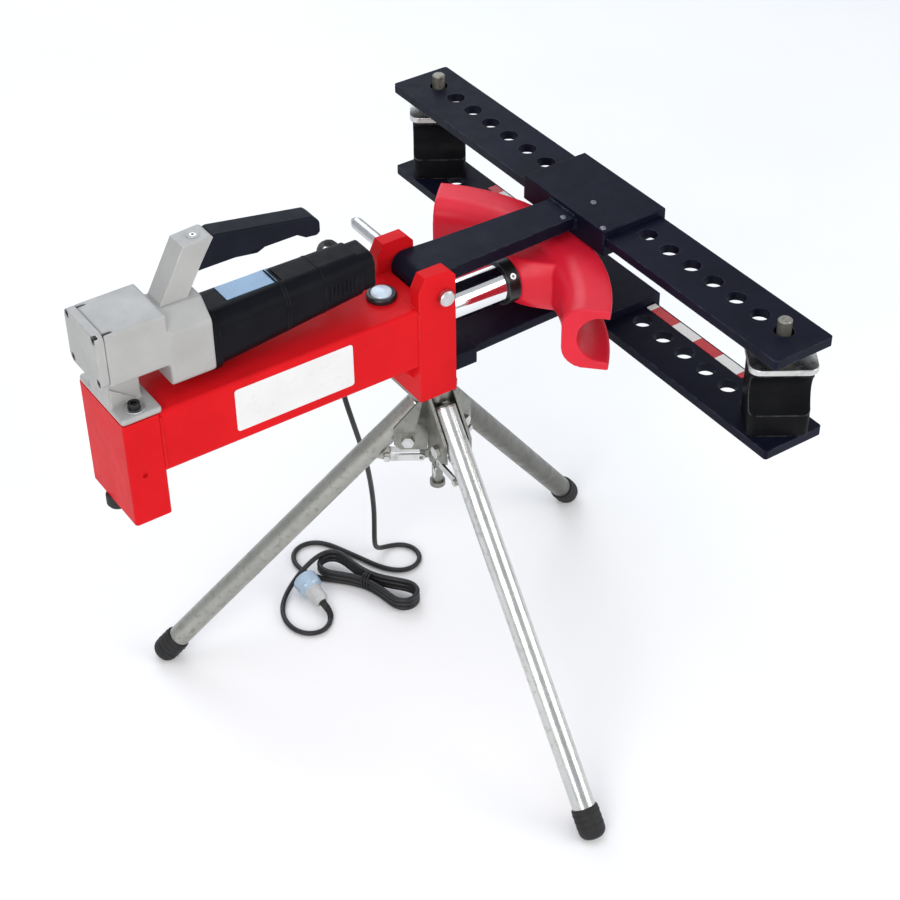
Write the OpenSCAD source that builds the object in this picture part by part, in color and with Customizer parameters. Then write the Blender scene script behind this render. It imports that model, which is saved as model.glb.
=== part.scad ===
// Electro-hydraulic pipe bender standing on a folding tripod.
// X runs along the ram from the motor end to the wings, Y across the
// wings, Z up.  All piece coordinates are written from the centre of the
// upper wing's hole row at its top face and moved to the ground by fr().

/* [Wings] */
// Distance between the two outermost support pins
pin_spacing = 700; // [680:2:710]
// Pitch of the row of support holes
hole_pitch = 41; // [38:0.5:42]
// Diameter of the support holes
hole_d = 24; // [22:0.5:26]
// Thickness of each wing plate
plate_t = 12; // [10:1:14]
// Wing plate edge behind the hole row
plate_back = 47; // [42:1:50]
// Wing plate edge in front of the hole row
plate_front = 39; // [34:1:42]
// Half length of each wing plate
plate_half = 390; // [385:1:400]
// Clear height between the two wing plates
plate_gap = 116; // [112:1:120]
// Wall that the sleeves add around the plates
sleeve_wall = 10; // [7:1:12]
// Half length of the sleeves along the plates
sleeve_half = 82; // [70:1:90]

/* [Ram and former] */
// Diameter of the ram rod
ram_d = 50; // [44:1:52]
// Bore of the cylinder
cyl_bore = 53; // [52:1:54]
// Pipe groove radius of the former
groove_r = 31; // [28:0.5:32]
// Bend radius to the pipe's centre line
bend_r = 244; // [230:1:250]
// Half angle of the former's arc
former_half_angle = 45; // [38:1:46]
// Former height above and below the ram axis
former_half_h = 43; // [40:0.5:43.5]

/* [Supports] */
// Rest angle of both supports about their pins
support_turn = 56; // [0:1:90]
// Stub height above the upper plate
stub_h = 17; // [12:1:22]
// Diameter of the stub
stub_d = 17; // [14:0.5:18]

/* [Body] */
// Width of the tank body
body_w = 107; // [100:1:110]
// Height of the tank body
body_h = 83; // [80:1:86]
// Tank sheet thickness
body_wall = 4; // [3:0.5:5]
// Rear leg depth along the body
leg_depth = 46; // [40:1:48]
// Height of the rear leg
rear_leg_h = 141; // [130:1:150]

/* [Drive] */
// Height of the motor axis over the upper wing's top face
motor_z = 22; // [20:0.5:24]
// Teeth on the pinion
pinion_teeth = 12; // [12:1:12]
// Teeth on the reduction gear
gear_teeth = 36; // [36:1:36]
// Gear module
gear_m = 0.85; // [0.8:0.01:0.88]
// Diameter of the armature core
rotor_d = 30; // [28:1:32]

/* [Tripod] */
// Height of the upper wing's top face above the ground
deck_h = 642; // [642:1:642]
// Lean of the legs from the vertical
leg_lean = 39.9; // [39.9:0.1:39.9]
// Turn of the whole tripod about its post
tripod_turn = -4; // [-8:1:4]
// Leg tube diameter
tube_d = 30; // [27:0.5:30]
// Leg tube wall
tube_wall = 2; // [1.5:0.25:3]
// Rubber foot diameter
foot_d = 35; // [32:1:36]

/* [Cord] */
// Diameter of the mains cord
cord_d = 7.2; // [6.5:0.1:8]

/* [Hidden] */
$fn = 48;
off_x = 294.7;
off_y = 5.2;
axis_z = -plate_t - plate_gap / 2;
low_top = -plate_t - plate_gap;
low_bot = low_top - plate_t;
pin_y = pin_spacing / 2;
body_top = -22;
body_bot = body_top - body_h;
leg_x0 = -686;
leg_x1 = leg_x0 + leg_depth;
blk_x0 = -300;
blk_x1 = -248;
blk_bot = -157;
piv_x = -263.5;
piv_z = -15;
pin_d = 16;
lug_r = 18;
fit = 0.1;
former_xc = -291;
mouth_r = bend_r + 8;
former_back = 19;
hub_x = -250.5;
hub_y = -11.5;
leg_piv_r = 36;
leg_piv_z = -250;
sl = sin(leg_lean);
cl = cos(leg_lean);
axis_r = 34;
axis_rz = -215.6;
leg_end = 551.5;
tri_a = [150 + tripod_turn, -90 + tripod_turn, 30 + tripod_turn];
gear_cd = gear_m * (pinion_teeth + gear_teeth) / 2;
gear_z = motor_z + gear_cd;
red = [0.83, 0.10, 0.13];
blk = [0.10, 0.11, 0.16];
alu = [0.75, 0.74, 0.72];
zinc = [0.66, 0.67, 0.66];

module fr() translate([off_x, off_y, deck_h]) children();
module bx(a, b) translate(a) cube(b - a);
module xcyl(x0, x1, y, z, d) translate([x0, y, z]) rotate([0, 90, 0]) cylinder(h = x1 - x0, d = d);
module ycyl(y0, y1, x, z, d) translate([x, y0, z]) rotate([-90, 0, 0]) cylinder(h = y1 - y0, d = d);
module zcyl(z0, z1, x, y, d) translate([x, y, z0]) cylinder(h = z1 - z0, d = d);
// outline with round corners, true arcs
module rrect(w, h, r) {
  square([w - 2 * r, h], center = true);
  square([w, h - 2 * r], center = true);
  for (i = [-1, 1], j = [-1, 1]) translate([i * (w / 2 - r), j * (h / 2 - r)]) circle(r);
}
// a YZ outline drawn along X
module along_x(x0, x1) translate([x0, 0, 0]) rotate([90, 0, 90]) linear_extrude(x1 - x0) children();
// an XZ outline drawn across Y, centred
module across(w) rotate([90, 0, 0]) linear_extrude(w, center = true) children();

// ---------- body ----------
module tank_body() color(red) fr() difference() {
  along_x(leg_x1, blk_x0) translate([0, (body_top + body_bot) / 2]) difference() {
    rrect(body_w, body_h, 6);
    rrect(body_w - 2 * body_wall, body_h - 2 * body_wall, 3);
  }
  zcyl(-40, 0, -320, -4, 30);
}
module rear_leg() color(red) fr() difference() {
  translate([leg_x0 + leg_depth / 2, 0, body_top - rear_leg_h]) linear_extrude(rear_leg_h) rrect(leg_depth, 109, 4);
  bx([leg_x0 + 5, -49, body_top - rear_leg_h + 5], [leg_x1 - 5, 49, body_top - 8]);
  zcyl(-40, 0, -663, 0, 26);
  for (s = [-1, 1]) zcyl(-40, 0, -663, s * 39, 8.2);
  zcyl(body_top - rear_leg_h - 1, body_top - rear_leg_h + 6, -676, 15, 8);
  ycyl(-60, -51.5, -667, -97, 7);
}
module rear_bumper() color([0.08, 0.08, 0.08]) fr() translate([-676, 15, body_top - rear_leg_h]) rotate_extrude()
  polygon([[0, 5.5], [3.8, 5.5], [3.8, 0], [12, 0], [13.5, -3], [13.5, -15], [11.5, -18], [0, -19]]);
module head_block() color(red) fr() difference() {
  union() {
    bx([blk_x0, -54, blk_bot], [blk_x1, 54, body_top]);
    for (s = [-1, 1]) translate([0, s * 45, 0]) across(18)
      polygon([[blk_x0, body_top - 1], [blk_x0, 2], [-291, 20], [-257, 20], [blk_x1, 10], [blk_x1, body_top - 1]]);
    across(80) polygon([[blk_x0 + 1, body_bot - 0.3], [-322, body_bot - 0.3], [blk_x0 + 1, -129]]);
  }
  // arm pocket, round about the pivot
  ycyl(-36, 36, piv_x, piv_z, 2 * (lug_r + 1.5));
  bx([piv_x, -36, piv_z - lug_r - 1.5], [blk_x1 + 1, 36, 30]);
  bx([blk_x0 - 1, -36, body_top], [piv_x, 36, 30]);
  ycyl(-60, 60, piv_x, piv_z, pin_d + fit);
  xcyl(blk_x0 - 1, -264, 0, axis_z, 61);
  xcyl(-265, blk_x1 + 1, 0, axis_z, 62);
}
module cylinder_tube() color([0.55, 0.56, 0.58]) fr() difference() {
  xcyl(-600, -264, 0, axis_z, 61);
  xcyl(-586, -263, 0, axis_z, cyl_bore);
}
module rod_gland() color([0.72, 0.55, 0.25]) fr() difference() {
  union() { xcyl(-264, blk_x1, 0, axis_z, 62); xcyl(blk_x1, blk_x1 + 4, 0, axis_z, 58); }
  xcyl(-270, blk_x1 + 6, 0, axis_z, ram_d + fit);
}
module pump_block() color([0.45, 0.46, 0.48]) fr() difference() {
  bx([-680, -24, -110], [-646, 24, -31]);
  zcyl(-100, -30, -663, 0, 14);
}
module filler_ring() color([0.06, 0.06, 0.07]) fr() translate([-320, -4, body_top]) rotate_extrude()
  polygon([[13.6, -10], [14.9, -10], [14.9, 0], [18.5, 0], [18.5, 5], [17, 7], [13.6, 7]]);
module filler_cap() color([0.80, 0.86, 0.92]) fr() translate([-320, -4, body_top]) rotate_extrude()
  polygon([[0, -8], [12, -8], [13.2, -6], [13.2, 8], [11.5, 10], [6, 11.2], [0, 11.5]]);
module name_plate() color([0.93, 0.93, 0.92]) fr() translate([-470, -body_w / 2, -60]) rotate([90, 0, 0])
  linear_extrude(0.8) rrect(156, 58, 4);

// ---------- frames ----------
module holes(z0, z1) for (s = [-1, 1], k = [0:6]) zcyl(z0, z1, 0, s * (pin_y - k * hole_pitch), hole_d);
module wing(zt) difference() {
  translate([(plate_front - plate_back) / 2, 0, zt - plate_t]) linear_extrude(plate_t)
    rrect(plate_front + plate_back, 2 * plate_half, 4);
  holes(zt - plate_t - 1, zt + 1);
}
module sleeve(zt, above, below) difference() {
  bx([-plate_back - 4, -sleeve_half, zt - plate_t - below], [plate_front + 6, sleeve_half, zt + above]);
  bx([-plate_back - 0.2, -sleeve_half - 1, zt - plate_t - 0.2], [plate_front + 0.2, sleeve_half + 1, zt + 0.2]);
}
module upper_wing() color(blk) fr() wing(0);
module upper_sleeve() color(blk) fr() sleeve(0, sleeve_wall, 13);
module upper_arm() color(blk) fr() difference() {
  union() {
    ycyl(-34.5, 34.5, piv_x, piv_z, 2 * lug_r);
    intersection() {
      translate([0, 0, -13]) linear_extrude(16)
        polygon([[piv_x, -34.5], [-225, -32], [-plate_back - 4, -26], [-plate_back - 4, 26], [-225, 32], [piv_x, 34.5]]);
      bx([piv_x, -40, -40], [0, 40, 3]);
    }
  }
  ycyl(-40, 40, piv_x, piv_z, pin_d + fit);
}
module rivet(x, y, z) translate([x, y, z]) rotate_extrude() polygon([[0, 0], [4, 0], [3.4, 1.4], [1.8, 2.2], [0, 2.4]]);
module sleeve_rivets() color([0.55, 0.56, 0.6]) fr() {
  rivet(-20, -21, sleeve_wall);
  rivet(-46, -74, sleeve_wall);
  rivet(-64, -18, 3);
}
module lower_wing() color(blk) fr() wing(low_top);
module lower_arm() color(blk) fr() {
  sleeve(low_top, 13, sleeve_wall);
  translate([0, 0, low_bot + 4]) linear_extrude(13)
    polygon([[blk_x1, -34], [-225, -32], [-plate_back - 3, -26], [-plate_back - 3, 26], [-225, 32], [blk_x1, 34]]);
  bx([blk_x1, -41, -142], [-208, 41, -119]);
}
module marker_strips() color([0.85, 0.30, 0.30]) fr()
  for (s = [-1, 1]) translate([29.5, s * 175, low_top]) translate([-7, -91, 0]) cube([14, 182, 0.6]);
module frame_pin() color([0.72, 0.73, 0.74]) fr() translate([piv_x, 0, piv_z]) rotate([-90, 0, 0]) rotate_extrude()
  polygon([[0, -62], [9, -62], [10.5, -60.5], [10.5, -54.3], [pin_d / 2, -54.3], [pin_d / 2, 140], [pin_d / 2 - 3, 147], [3, 150], [0, 150]]);

// ---------- ram and former ----------
module ram_rod() color([0.80, 0.81, 0.83]) fr() difference() {
  union() { xcyl(-560, -150, 0, axis_z, ram_d); xcyl(-151, -100, 0, axis_z, 36); }
  xcyl(-561, -530, 0, axis_z, 24);
}
module piston() color([0.5, 0.5, 0.52]) fr() difference() {
  union() { xcyl(-578, -560, 0, axis_z, cyl_bore - fit); xcyl(-561, -531, 0, axis_z, 24 - fit); }
  rotate_groove();
}
module rotate_groove() translate([-569, 0, axis_z]) rotate([0, 90, 0]) difference() {
  cylinder(h = 5, d = cyl_bore + 10, center = true);
  cylinder(h = 6, d = cyl_bore - 6, center = true);
}
module ram_collar() color([0.10, 0.10, 0.11]) fr() difference() {
  xcyl(-150, -133.5, 0, axis_z, 58);
  xcyl(-151, -133, 0, axis_z, 36 + fit);
  translate([-142, 0, axis_z]) rotate([50, 0, 0]) cylinder(h = 40, d = 8);
}
module collar_screw() color([0.5, 0.5, 0.52]) fr() translate([-142, 0, axis_z]) rotate([50, 0, 0]) translate([0, 0, 18.6]) difference() {
  cylinder(h = 11.5, d = 7.8);
  translate([0, 0, 8]) cylinder(h = 5, d = 4, $fn = 6);
}
module former_section() difference() {
  union() {
    translate([bend_r - groove_r - former_back + 27, -former_half_h]) square([mouth_r - bend_r + groove_r + former_back - 27, 2 * former_half_h]);
    translate([bend_r - groove_r - former_back, -former_half_h + 27]) square([30, 2 * former_half_h - 54]);
    for (s = [-1, 1]) translate([bend_r - groove_r - former_back + 27, s * (former_half_h - 27)]) circle(27);
  }
  translate([bend_r, 0]) circle(groove_r);
  translate([bend_r, -groove_r]) square([20, 2 * groove_r]);
}
module former() color([0.86, 0.13, 0.20]) fr() translate([0, 0, axis_z]) difference() {
  union() {
    translate([former_xc, 0, 0]) rotate([0, 0, -former_half_angle])
      rotate_extrude(angle = 2 * former_half_angle, $fn = 96) former_section();
    // boss that spreads from the collar into the arc
    intersection() {
      translate([-133, 0, 0]) rotate([0, 90, 0]) cylinder(h = 43, d1 = 60, d2 = 136);
      bx([-140, -72, -34], [-80, 72, 34]);
    }
  }
  xcyl(-140, -98, 0, 0, 36 + fit);
}

// ---------- supports ----------
module sup(s) fr() translate([0, s * pin_y, 0]) rotate([0, 0, support_turn]) children();
module saddle() difference() {
  translate([0, 0, low_top + 0.4]) linear_extrude(-38 - low_top - 0.4) rrect(62, 72, 8);
  translate([-45, 0, axis_z]) rotate([90, 0, 0]) cylinder(h = 100, r = groove_r, center = true, $fn = 64);
  zcyl(-140, -30, 0, 0, hole_d);
}
module flange() difference() {
  translate([0, 0, -38]) linear_extrude(8) rrect(70, 80, 13);
  zcyl(-50, -20, 0, 0, hole_d);
}
module support_pin() rotate_extrude()
  polygon([[0, low_bot - 4], [hole_d / 2 - 2, low_bot - 4], [hole_d / 2 - 0.05, low_bot - 2], [hole_d / 2 - 0.05, -30],
    [hole_d / 2 + 4, -30], [hole_d / 2 + 4, -plate_t - 0.5], [stub_d / 2, -plate_t - 0.5], [stub_d / 2, stub_h - 1.5], [stub_d / 2 - 1.5, stub_h], [0, stub_h]]);
module saddle_left() color([0.07, 0.07, 0.08]) sup(1) saddle();
module flange_left() color(zinc) sup(1) flange();
module support_pin_left() color([0.5, 0.49, 0.45]) sup(1) support_pin();
module saddle_right() color([0.07, 0.07, 0.08]) sup(-1) saddle();
module flange_right() color(zinc) sup(-1) flange();
module support_pin_right() color([0.5, 0.49, 0.45]) sup(-1) support_pin();

// ---------- motor, gearbox and handle ----------
cover_pts = [for (y = [-31, 31], z = [29, 86]) [y, z]];
module gearbox_housing() color(alu) fr() difference() {
  union() {
    bx([-686, -38, 22], [-612, 38, 90]);
    along_x(-614, -558) polygon([[-40, -2], [-36, -6], [36, -6], [40, -2], [40, 62], [18, 84], [-18, 84], [-40, 62]]);
    bx([-686, -24, -15], [-646, 24, 23]);
    translate([-661, 0, body_top]) linear_extrude(8) rrect(50, 108, 4);
  }
  // eccentric space behind, gear space in front of the shaft's wall
  bx([-690, -26, 26], [-618, 26, 78]);
  bx([-611.5, -20, 14], [-597, 20, 62]);
  xcyl(-594, -550, 0, motor_z, 46);
  xcyl(-598, -593, 0, motor_z, 12);
  xcyl(-619, -611, 0, gear_z, 10 + fit);
  for (p = cover_pts) xcyl(-690, -672, p[0], p[1], 6);
  for (s = [-1, 1]) zcyl(-40, 0, -663, s * 39, 8.2);
  zcyl(-30, 40, -663, 0, 16);
}
module gearbox_cover() color(alu) fr() difference() {
  along_x(-697, -686) translate([0, 57]) rrect(76, 70, 9);
  xcyl(-692, -685, 0, gear_z, 10 + fit);
  for (p = cover_pts) { xcyl(-698, -685, p[0], p[1], 6.2); xcyl(-698, -691, p[0], p[1], 10.4); }
}
module socket_head(d, h) difference() { cylinder(h = h, d = d); translate([0, 0, h / 2]) cylinder(h = h, d = d * 0.55, $fn = 6); }
module gearbox_screws() color([0.07, 0.07, 0.08]) fr() {
  for (p = cover_pts) { translate([-691, p[0], p[1]]) rotate([0, -90, 0]) socket_head(10, 5); xcyl(-691, -676, p[0], p[1], 5.8); }
  for (s = [-1, 1]) { translate([-663, s * 39, body_top + 8]) socket_head(14, 8); zcyl(body_top - 7, body_top + 8, -663, s * 39, 8); }
}
module handle_neck() color(alu) fr() difference() {
  across(30) polygon([[-608, 84], [-574, 84], [-553, 121], [-536, 148], [-540, 150], [-573, 148]]);
  zcyl(140, 170, -553, 0, 8);
}
module neck_screw() color([0.5, 0.5, 0.5]) fr() translate([-553, 0, 141]) difference() {
  cylinder(h = 9, d = 7.8);
  translate([0, 0, 6]) cylinder(h = 5, d = 4, $fn = 6);
}
module grip() color(blk) fr() difference() {
  across(28) polygon([[-559, 110.4], [-553, 121], [-536, 148], [-531, 148.5], [-410, 127], [-402, 118], [-402, 104], [-407, 101], [-421, 103], [-432, 110]]);
  bx([-540, -8, 100], [-466, 8, 128]);
}
module trigger() color([0.05, 0.05, 0.06]) fr() across(15) polygon([[-530, 119], [-527, 123], [-520, 122], [-472, 116], [-470, 106], [-480, 102], [-520, 108]]);
module motor_section(h, zc, r) translate([0, zc]) rrect(2 * h, 2 * h, r);
module motor_housing() color([0.05, 0.05, 0.06]) fr() difference() {
  union() {
    hull() { along_x(-552, -548) motor_section(36, motor_z, 22); along_x(-362, -358) motor_section(28, 31, 18); }
    along_x(-558, -550) motor_section(39, motor_z, 24);
    xcyl(-580, -557, 0, motor_z, 45.6);
  }
  xcyl(-581, -550, 0, motor_z, 40);
  xcyl(-551, -450, 0, motor_z, 48);
  xcyl(-451, -376, 0, motor_z, 32);
  xcyl(-378, -366, 0, motor_z, 22);
  label_place() translate([-35.5, -16.5, 0]) cube([71, 33, 8]);
}
// flat for the label on the housing's top
module label_place() translate([-490, 6, motor_z + 34.6]) children();
module motor_end_cap() color([0.05, 0.05, 0.06]) fr() difference() {
  along_x(-358, -340) motor_section(25, 31, 14);
  xcyl(-359, -352, 0, motor_z, 24);
  ycyl(18, 30, -349, 31, 11);
}
module motor_label() color([0.45, 0.66, 0.84]) fr() label_place() translate([-34, -15, 0]) cube([68, 30, 1]);
module stator() color([0.5, 0.3, 0.18]) fr() difference() {
  xcyl(-532, -452, 0, motor_z, 47.8);
  xcyl(-533, -451, 0, motor_z, rotor_d + 2.4);
}
module motor_bearings() color([0.7, 0.7, 0.72]) fr() for (x = [-593, -377]) difference() {
  xcyl(x, x + 9, 0, motor_z, x < -500 ? 45.8 : 21.9);
  xcyl(x - 1, x + 10, 0, motor_z, 10 + fit);
}
// spur wheel with plain flanks and running backlash
function tooth(z, m, i) = let (p = 360 / z, a = i * p, r = z * m / 2)
  [for (q = [[r - 1.25 * m, -0.33], [r, -0.215], [r + 0.9 * m, -0.09], [r + 0.9 * m, 0.09], [r, 0.215], [r - 1.25 * m, 0.33]])
    [q[0] * cos(a + q[1] * p), q[0] * sin(a + q[1] * p)]];
module spur(z, m, turn) rotate([0, 0, turn]) polygon([for (i = [0:z - 1]) each tooth(z, m, i)]);
module armature() color([0.6, 0.45, 0.25]) fr() {
  xcyl(-600, -369, 0, motor_z, 10);
  xcyl(-524, -458, 0, motor_z, rotor_d);
  along_x(-610, -599.5) translate([0, motor_z]) spur(pinion_teeth, gear_m, 90);
  difference() { xcyl(-548, -540, 0, motor_z, 42); for (i = [0:5]) translate([0, 0, motor_z]) rotate([i * 60, 0, 0]) xcyl(-549, -539, 0, 14, 8); }
}
module reduction_gear() color([0.6, 0.6, 0.62]) fr() {
  along_x(-609.5, -600) translate([0, gear_z]) spur(gear_teeth, gear_m, 90 + 180 / gear_teeth);
  xcyl(-691.5, -600.5, 0, gear_z, 10);
  xcyl(-672, -656, 0, gear_z + 3, 22);
}

// ---------- tripod ----------
module tri(k) fr() translate([hub_x, hub_y, 0]) rotate([0, 0, tri_a[k]]) children();
// point s along a leg's own axis, down and out from the head
module leg_axis() translate([axis_r, 0, axis_rz]) rotate([0, 180 - leg_lean, 0]) children();
module tripod_head() color(zinc) {
  fr() translate([hub_x, hub_y, 0]) {
    difference() {
      translate([-267 - hub_x, -hub_y, blk_bot - 7]) linear_extrude(7) rrect(62, 84, 6);
      for (i = [-1, 1], j = [-1, 1]) zcyl(blk_bot - 8, blk_bot + 1, i * 22 - 267 - hub_x, j * 35 - hub_y, 7);
    }
    zcyl(-190, blk_bot - 6, 0, 0, 40);
    zcyl(-330, -189, 0, 0, 14);
    zcyl(-336, -329, 0, 0, 20);
  }
  for (k = [0:2]) tri(k) for (s = [-1, 1]) difference() {
    translate([0, s * 17.5, 0]) across(4)
      polygon([[6, -170], [16, -182], [54, -232], [54, -256], [46, -264], [12, -264]]);
    ycyl(-30, 30, leg_piv_r, leg_piv_z, 10 + fit);
  }
}
module leg_bolts() color([0.78, 0.79, 0.8]) for (k = [0:2]) tri(k) {
  ycyl(-23, 23, leg_piv_r, leg_piv_z, 10);
  for (s = [-1, 1]) translate([leg_piv_r, s * 19.6, leg_piv_z]) rotate([-90 * s, 0, 0]) cylinder(h = 5.5, d = 17, $fn = 6);
}
module leg() {
  leg_axis() translate([0, 0, -22]) difference() {
    cylinder(h = leg_end + 22 - 12, d = tube_d);
    translate([0, 0, -1]) cylinder(h = leg_end + 22 - 10, d = tube_d - 2 * tube_wall);
  }
  // pivot lug under the tube, and brace lug
  difference() {
    intersection() {
      across(12) polygon([[27, -236], [28, -258], [36, -260.5], [46, -256], [60, -258], [50, -232], [38, -222]]);
      leg_clear();
    }
    ycyl(-30, 30, leg_piv_r, leg_piv_z, 10 + fit);
  }
  intersection() {
    difference() {
      across(12) polygon([[62, -268], [59, -288], [64, -291], [71, -290], [90, -284], [88, -272], [76, -262]]);
      ycyl(-9, 9, 64, -285, 6.2);
    }
    leg_clear();
  }
}
module leg_clear() difference() {
  bx([0, -20, -330], [130, 20, -190]);
  leg_axis() translate([0, 0, -60]) cylinder(h = 300, d = tube_d - 1);
}
module foot() intersection() {
  leg_axis() translate([0, 0, leg_end]) rotate_extrude()
    polygon(concat([[0, -13], [tube_d / 2 - 4, -12], [tube_d / 2, -12], [tube_d / 2, -42], [foot_d / 2 - 1, -42], [foot_d / 2, -40]],
      [for (a = [0:15:90]) [foot_d / 2 - 12 + 12 * cos(a), -12 + 12 * sin(a)]], [[0, 0]]));
  bx([0, -60, -deck_h], [600, 60, -300]);
}
module leg_left() color(zinc) tri(0) leg();
module leg_front() color(zinc) tri(1) leg();
module leg_back() color(zinc) tri(2) leg();
module foot_left() color([0.07, 0.07, 0.07]) tri(0) foot();
module foot_front() color([0.07, 0.07, 0.07]) tri(1) foot();
module foot_back() color([0.07, 0.07, 0.07]) tri(2) foot();
// pair of flat bars from the leg's lug to the sliding collar, with their bolt
module brace() {
  for (s = [-1, 1]) difference() {
    union() {
      bx([20, s * 8.5 - 1.5, -290], [64, s * 8.5 + 1.5, -280]);
      for (x = [20, 64]) ycyl(s * 8.5 - 1.5, s * 8.5 + 1.5, x, -285, 10);
    }
    ycyl(-30, 30, 20, -285, 5);
  }
  ycyl(-10, 10, 64, -285, 6);
  for (s = [-1, 1]) translate([64, s * 10, -285]) rotate([-90 * s, 0, 0]) cylinder(h = 3.5, d = 10, $fn = 6);
}
module brace_left() color(zinc) tri(0) brace();
module brace_front() color(zinc) tri(1) brace();
module brace_back() color(zinc) tri(2) brace();
module slider_collar() color(zinc) {
  fr() translate([hub_x, hub_y, 0]) difference() {
    zcyl(-295, -275, 0, 0, 21);
    zcyl(-300, -270, 0, 0, 14.8);
  }
  for (k = [0:2]) tri(k) bx([9, -3, -291], [22, 3, -279]);
}

// ---------- cord ----------
module cord_gland() color([0.05, 0.05, 0.05]) fr() translate([-349, 18, 31]) rotate([-90, 0, 0]) rotate_extrude()
  polygon([[0, 0], [5.4, 0], [5.4, 7], [8, 7], [8, 11], [6.5, 13], [5.2, 26], [0, 26]]);
// unit vectors and smooth route through hand-placed points
function unit(v) = v / norm(v);
function cr(p, i, t) = let (n = len(p), a = p[max(i - 1, 0)], b = p[i], c = p[min(i + 1, n - 1)], d = p[min(i + 2, n - 1)])
  0.5 * (2 * b + (c - a) * t + (2 * a - 5 * b + 4 * c - d) * t * t + (3 * b - a - 3 * c + d) * t * t * t);
function route(p, k) = [for (i = [0:len(p) - 2], j = [0:k - 1]) cr(p, i, j / k), p[len(p) - 1]];
function dirs(q) = [for (i = [0:len(q) - 1]) unit(q[min(i + 1, len(q) - 1)] - q[max(i - 1, 0)])];
function side(t, n0) = unit(n0 - (n0 * t) * t);
function frames(t, i, n) = i == len(t) ? [] : let (m = side(t[i], n)) concat([m], frames(t, i + 1, m));
module tube(p, k, d, n0, t0, t1) {
  q = [for (v = route(p, k)) [v[0], v[1], max(v[2], floor_z)]];
  tt = dirs(q);
  t = [for (i = [0:len(q) - 1]) i == 0 ? t0 : i == len(q) - 1 ? t1 : tt[i]];
  u = frames(t, 0, n0);
  s = 8;
  pts = [for (i = [0:len(q) - 1], a = [0:s - 1]) let (w = cross(t[i], u[i])) q[i] + d / 2 * (cos(a * 360 / s) * u[i] + sin(a * 360 / s) * w)];
  n = len(q);
  polyhedron(pts, concat([[for (a = [0:s - 1]) a]], [[for (a = [0:s - 1]) (n - 1) * s + s - 1 - a]],
    [for (i = [0:n - 2], a = [0:s - 1]) [i * s + a, (i + 1) * s + a, (i + 1) * s + (a + 1) % s, i * s + (a + 1) % s]]));
}
floor_z = -deck_h + cord_d / 2 + 0.2;
drop_pts = [[-349, 44, 31], [-349, 61, 30], [-349, 82, 19], [-348, 93, -9], [-345, 95, -60], [-341, 94, -115], [-333, 92, -170], [-322, 92, -232],
  [-305, 98, -295], [-287, 110, -353], [-272, 126, -400], [-257, 145, -450], [-244, 163, -505], [-235, 179, -556], [-228, 192, -594], [-217, 206, -625],
  [-197, 214, floor_z], [-175, 208, floor_z], [-162, 189, floor_z], [-165, 166, floor_z], [-184, 152, floor_z], [-207, 157, floor_z], [-226, 180, floor_z], [-240, 214, floor_z],
  [-252, 242, floor_z], [-263, 268, floor_z], [-277, 284, floor_z], [-298, 289, floor_z], [-317, 280, floor_z], [-326, 260, floor_z], [-323, 235, floor_z], [-312, 208, floor_z]];
tail_pts = [[-308, 231, -deck_h + 25], [-331, 225, -deck_h + 20], [-355, 216, -deck_h + 11], [-378, 201, floor_z + 1], [-394, 178, floor_z], [-399, 151, floor_z], [-391, 126, floor_z],
  [-370, 113, floor_z], [-349, 119, floor_z], [-339, 137, floor_z + 1], [-338, 146, -deck_h + 8.7]];
module cord_drop() color([0.05, 0.05, 0.05]) fr() tube(drop_pts, 2, cord_d, [1, 0, 0], [0, 1, 0], unit([4, -9, 0]));
module cord_tail() color([0.05, 0.05, 0.05]) fr() tube(tail_pts, 2, cord_d, [0, 0, 1], unit([-23, -6, -5]), [0, cos(12), sin(12)]);
// tied hank: doubled cord drawn in at the tie, with a round loop at each end
hank_x = -262;
hank_y = 158;
module cord_hank() color([0.05, 0.05, 0.05]) fr() translate([hank_x, hank_y, -deck_h + 0.2]) rotate([0, 0, -65.2]) linear_extrude(29) union() {
  for (s = [-1, 1]) translate([s * 62, 0]) circle(26, $fn = 32);
  polygon([[-62, -26], [-22, -12], [22, -12], [62, -26], [62, 26], [22, 12], [-22, 12], [-62, 26]]);
}
module plug() color([0.55, 0.60, 0.66]) fr() translate([-338, 146, -deck_h + 8.7]) rotate([-78, 0, 2]) rotate_extrude()
  polygon([[0, 0], [4.5, 0], [6, 12], [11, 16], [12, 38], [17.5, 42], [18, 46], [18, 60], [17, 62], [0, 62]]);

tank_body();
rear_leg();
rear_bumper();
head_block();
lower_arm();
lower_wing();
marker_strips();
cylinder_tube();
rod_gland();
gearbox_housing();
gearbox_cover();
gearbox_screws();
handle_neck();
neck_screw();
grip();
motor_housing();
motor_end_cap();
motor_label();
name_plate();
stator();
motor_bearings();
filler_ring();
pump_block();
tripod_head();
leg_bolts();
cord_gland();
upper_arm();
upper_sleeve();
upper_wing();
sleeve_rivets();
frame_pin();
ram_rod();
piston();
ram_collar();
collar_screw();
former();
saddle_left();
flange_left();
support_pin_left();
saddle_right();
flange_right();
support_pin_right();
filler_cap();
trigger();
armature();
reduction_gear();
leg_left();
leg_front();
leg_back();
foot_left();
foot_front();
foot_back();
brace_left();
brace_front();
brace_back();
slider_collar();
cord_drop();
cord_hank();
cord_tail();
plug();
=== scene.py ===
import bpy, bmesh, math
from mathutils import Matrix, Vector


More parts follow.
